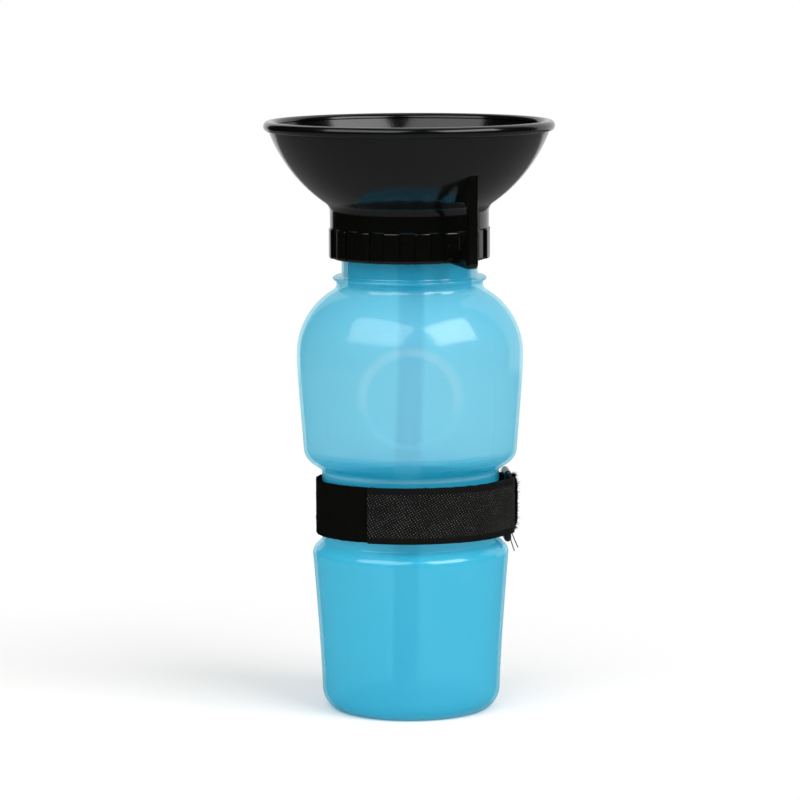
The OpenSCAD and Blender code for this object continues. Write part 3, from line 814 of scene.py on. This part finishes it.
# Two rows of stitches hold the sewn end, and two ends of their thread hang below the fold.
thread_greys = (0.004, 0.004, 0.004, 1), (0.035, 0.035, 0.035, 1)
twist_bump = (0.5, 0.0001)
sewing_thread = speckled("black_sewing_thread", (5000.0, 2.0), thread_greys, (0.45, 0.2), 0.3, twist_bump)


def thread_on(path, thick):
    """A round thread of eight sides along a path, closed at both ends."""
    path = np.array(path, float)
    rows = []
    for k, p in enumerate(path):
        way = path[min(k + 1, len(path) - 1)] - path[max(k - 1, 0)]
        way /= np.linalg.norm(way)
        side = np.cross(way, (0.31, 0.87, 0.38))
        side /= np.linalg.norm(side)
        other = np.cross(way, side)
        turns = np.linspace(0, 2 * np.pi, 8, endpoint=False)
        rows.append([p + thick * (side * np.cos(t) + other * np.sin(t)) for t in turns])
    points, faces = loft(rows)
    last = len(points) - 8
    return points, faces + [tuple(range(8)), tuple(range(last, last + 8))]


seams, stitch_count, stitch_l, stitch_gap, stitch_r = (3.0, 6.0), 8, 1.7, 2.1, 0.16
all_points, all_faces, count = [], [], 0
for seam in seams:
    away_from_end = length[-1] - seam
    p = np.array([np.interp(away_from_end, length, band_route[:, k]) for k in (0, 1)])
    w = np.array([np.interp(away_from_end, length, ahead[:, k]) for k in (0, 1)])
    o = np.array([w[1], -w[0]])
    for k in range(stitch_count):
        low = -8.2 + stitch_gap * k
        path = []
        for u in np.linspace(0, 1, 7):
            bulge = band_t / 2 - 0.45 + 0.35 * np.sin(np.pi * u)
            path.append((p[0] + o[0] * bulge, p[1] + o[1] * bulge, strap_z + low + stitch_l * u))
        points, faces = thread_on(path, stitch_r)
        all_points.append(points)
        all_faces += [tuple(i + count for i in face) for face in faces]
        count += len(points)
all_points = tilted(np.concatenate(all_points))
piece("sewn_stitches", all_points, all_faces, sewing_thread, "strap")

# Each loose end hangs on a curve through four guide points.
thread_ends = (
    [(36.2, 10.6, 67.0), (36.0, 10.8, 62.0), (36.9, 10.6, 59.6), (38.3, 10.4, 55.4)],
    [(36.6, 10.2, 67.0), (36.8, 10.4, 62.4), (38.2, 10.2, 60.2), (39.6, 10.0, 56.8)],
)
for k, guides in enumerate(thread_ends):
    u = np.linspace(0, 1, 14)[:, None]
    a, b, c, d = (np.array(p) for p in guides)
    path = a * (1 - u) ** 3 + 3 * b * u * (1 - u) ** 2 + 3 * c * u * u * (1 - u) + d * u**3
    points, faces = thread_on(path, 0.2)
    piece(f"thread_end_{k + 1}", points, faces, sewing_thread, "strap")


# ---- Strap ring ----
# A flat moulded loop of black plastic. The loop tape is sewn round its rear bar, and the hook
# tape passes through it and folds back over its front bar.

ring_greys = (0.002, 0.002, 0.002, 1), (0.010, 0.010, 0.011, 1)
ring_black = speckled("ring_black_plastic", (420.0, 5.0), ring_greys, (0.2, 0.25), 0.4, (0.1, 0.0001))
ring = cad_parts["strap_ring"]
ring.data.materials.clear()
ring.data.materials.append(ring_black)


# ---- Hook tape ----
# Woven black nylon tape, its smooth back outward and its hooks on the pile below.
# It comes through the ring, folds over the front bar and ends in a straight heat-cut edge.

tail_end_dir = -25.4
tail_in = band_out + strap_gap
tail_mid = tail_in + tail_t / 2
tail_fold = bar_r + bar_fit + tail_t / 2
front_centre = at(bar_d, front_bar)
route = [at(tail_mid, a) for a in np.linspace(tail_end_dir, front_bar - 18, 90)]
for u in np.linspace(0, 1, 10)[1:]:
    r = tail_mid + (bar_d + tail_fold - tail_mid) * ease(u)
    route.append(at(r, front_bar - 18 * (1 - u)))
for t in np.linspace(0, 172, 16)[1:]:
    out_way, side = at(1, front_bar), at(1, front_bar + 90)
    outward, sideways = np.cos(np.radians(t)), np.sin(np.radians(t))
    route.append(front_centre + tail_fold * (out_way * outward + side * sideways))

woven_greys = (0.0042, 0.0042, 0.0040, 1), (0.12, 0.12, 0.113, 1)
woven, nodes = new_finish("woven_hook_tape")
route_uv = nodes.add("ShaderNodeUVMap", {"uv_map": "weave"})
split = nodes.add("ShaderNodeSeparateXYZ", {}, {"Vector": route_uv}).socket.node
along_tape, across_tape = [Wire(nodes.tree, s) for s in split.outputs[:2]]
thread_gap = 0.0011
wander = nodes.add("ShaderNodeTexNoise", {}, {"Vector": route_uv, "Scale": 260.0, "Detail": 2.0})
wander = wander * 0.0013
full_turn = 6.2832
slant = (along_tape + across_tape * 0.62 + wander) * (full_turn / thread_gap)
weft = (along_tape - across_tape * 1.7 - wander) * (full_turn / thread_gap / 1.5)
rows_of_thread = slant.maths("SINE", slant) * 0.5 + 0.5
knots = weft.maths("SINE", weft) * 0.5 + 0.5
fuzz = nodes.add("ShaderNodeTexNoise", {}, {"Vector": route_uv, "Scale": 1500.0, "Detail": 3.0})
patch = nodes.add("ShaderNodeTexNoise", {}, {"Vector": route_uv, "Scale": 110.0, "Detail": 2.0})
selvage = across_tape.maths("ABSOLUTE", across_tape).step(0.0076, 0.0086)
dots = rows_of_thread * knots * (1 - selvage)
raised = dots + fuzz * 0.7
shine = (dots * 0.9 + fuzz + patch * 0.4).step(1.18, 1.8)
ribbing = nodes.add("ShaderNodeBump", {}, {"Strength": 0.6, "Distance": 0.0002, "Height": raised})
show(
    nodes,
    nodes.add(
        "ShaderNodeBsdfPrincipled",
        {},
        {
            "Base Color": shine.blend(*woven_greys),
            "Roughness": 0.75,
            "Specular IOR Level": 0.06,
            "Normal": ribbing,
        },
    ),
)
points, faces, along, across = tape(route, tail_t, tape_w, 0.35)
tail = piece("hook_tape", tilted(points), faces, woven, "tail", sharp=60)
paint_route(tail, along, across)
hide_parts("strap_tail")


# ---- Studio ----
# A pale floor that runs into a white surround, two big softboxes in front to the left and the
# right of the camera, a weak light overhead, and a long lens a little above the bowl's rim.

floor_white, nodes = new_finish("floor_white")
place, along_x, along_y, along_z = axes(nodes)
rays = nodes.add("ShaderNodeLightPath").socket.node.outputs
in_gloss = Wire(nodes.tree, rays["Is Glossy Ray"])
seen = Wire(nodes.tree, rays["Is Camera Ray"]) + Wire(nodes.tree, rays["Is Transmission Ray"])
shadow_middle = (-0.065, -0.005, 0)
away = nodes.add("ShaderNodeVectorMath", {"operation": "DISTANCE"}, {0: place, 1: shadow_middle}, out=1)
paper = in_gloss.blend((0.83, 0.82, 0.81, 1), (0.25, 0.25, 0.25, 1))
lit = nodes.add("ShaderNodeBsdfDiffuse", {}, {"Color": paper})
white = nodes.add("ShaderNodeEmission", {}, {"Color": (1, 1, 1, 1), "Strength": 1.0})
share = seen.maths("MINIMUM", seen, 1.0) * (away.step(0.05, 0.24) * 0.92 + 0.08)
show(nodes, nodes.add("ShaderNodeMixShader", {}, {0: share, 1: lit, 2: white}))

table_r = 0.85


def staged(name, points, faces, finish):
    """A mesh of the studio, which isn't part of the bottle."""
    mesh = bpy.data.meshes.new(name)
    mesh.from_pydata([tuple(p) for p in points], [], faces)
    mesh.materials.append(finish)
    made = bpy.data.objects.new(name, mesh)
    bpy.context.scene.collection.objects.link(made)
    return made


turns = np.linspace(0, 2 * np.pi, 96, endpoint=False)
table = [(table_r * np.cos(t), table_r * np.sin(t), 0) for t in turns]
staged("studio_table", table, [tuple(range(96))], floor_white)

# The dark part of the room, round the sides and behind the camera. Only the gloss shows it.
room_dark, nodes = new_finish("dark_room_cloth")
folds = nodes.add("ShaderNodeTexNoise", {}, {"Scale": 30.0})
cloth = folds.blend((0.01, 0.01, 0.01, 1), (0.02, 0.02, 0.02, 1))
show(nodes, nodes.add("ShaderNodeBsdfDiffuse", {}, {"Color": cloth}))
room_r, room_low, room_high, room_left, room_right = 2.3, -32, 88, 148, 120
rows = []
for rise in np.radians(np.linspace(room_low, room_high, 25)):
    turns = np.radians(np.linspace(-90 - room_left, -90 + room_right, 49))
    rows.append([(np.cos(rise) * np.cos(t), np.cos(rise) * np.sin(t), np.sin(rise)) for t in turns])
points, faces = loft(np.array(rows) * room_r, round_columns=False)
room = staged("dark_room_side", points, faces, room_dark)
room.visible_camera = room.visible_diffuse = room.visible_transmission = room.visible_shadow = False

world = bpy.data.worlds.new("white_surround")
world.use_nodes = True
world.node_tree.nodes.clear()
nodes = Wire(world.node_tree)
rays = nodes.add("ShaderNodeLightPath").socket.node.outputs
seen = Wire(nodes.tree, rays["Is Camera Ray"]) + Wire(nodes.tree, rays["Is Transmission Ray"])
seen = seen + Wire(nodes.tree, rays["Is Glossy Ray"])
strength = seen.maths("MINIMUM", seen, 1.0) * 0.55 + 0.45
sky = nodes.add("ShaderNodeBackground", {}, {"Color": (1, 1, 1, 1), "Strength": strength})
nodes.add("ShaderNodeOutputWorld", {}, {"Surface": sky})
bpy.context.scene.world = world

aim = Vector((0, 0, 0.115))


def softbox(name, way, distance, size, power):
    """A rectangular studio light that looks at the bottle from a direction."""
    lamp = bpy.data.lights.new(name, "AREA")
    lamp.shape, lamp.size, lamp.size_y, lamp.energy = "RECTANGLE", size[0], size[1], power
    made = bpy.data.objects.new(name, lamp)
    made.location = aim + Vector(way).normalized() * distance
    made.rotation_euler = (aim - made.location).to_track_quat("-Z", "Y").to_euler()
    bpy.context.scene.collection.objects.link(made)
    return made


softbox("softbox_left", (-0.46, -0.55, 0.68), 0.9, (0.95, 0.60), 6.5)
softbox("softbox_right", (0.60, -0.46, 0.65), 0.9, (0.72, 0.50), 7.5)
overhead = softbox("overhead", (0.1, 0.1, 1.0), 1.2, (1.0, 1.0), 1.5)
overhead.visible_glossy = False

lens_data = bpy.data.cameras.new("camera")
lens_data.sensor_width, lens_data.lens = 36.0, 161.8
camera = bpy.data.objects.new("camera", lens_data)
camera.location = (0, -1.300, 0.284)
target = Vector((-0.0037, 0, 0.1132))
camera.rotation_euler = (target - camera.location).to_track_quat("-Z", "Y").to_euler()
camera.rotation_euler.rotate_axis("Z", np.radians(-0.25))
bpy.context.scene.collection.objects.link(camera)
bpy.context.scene.camera = camera
bpy.context.scene.view_settings.view_transform = "Standard"

bpy.context.view_layer.update()
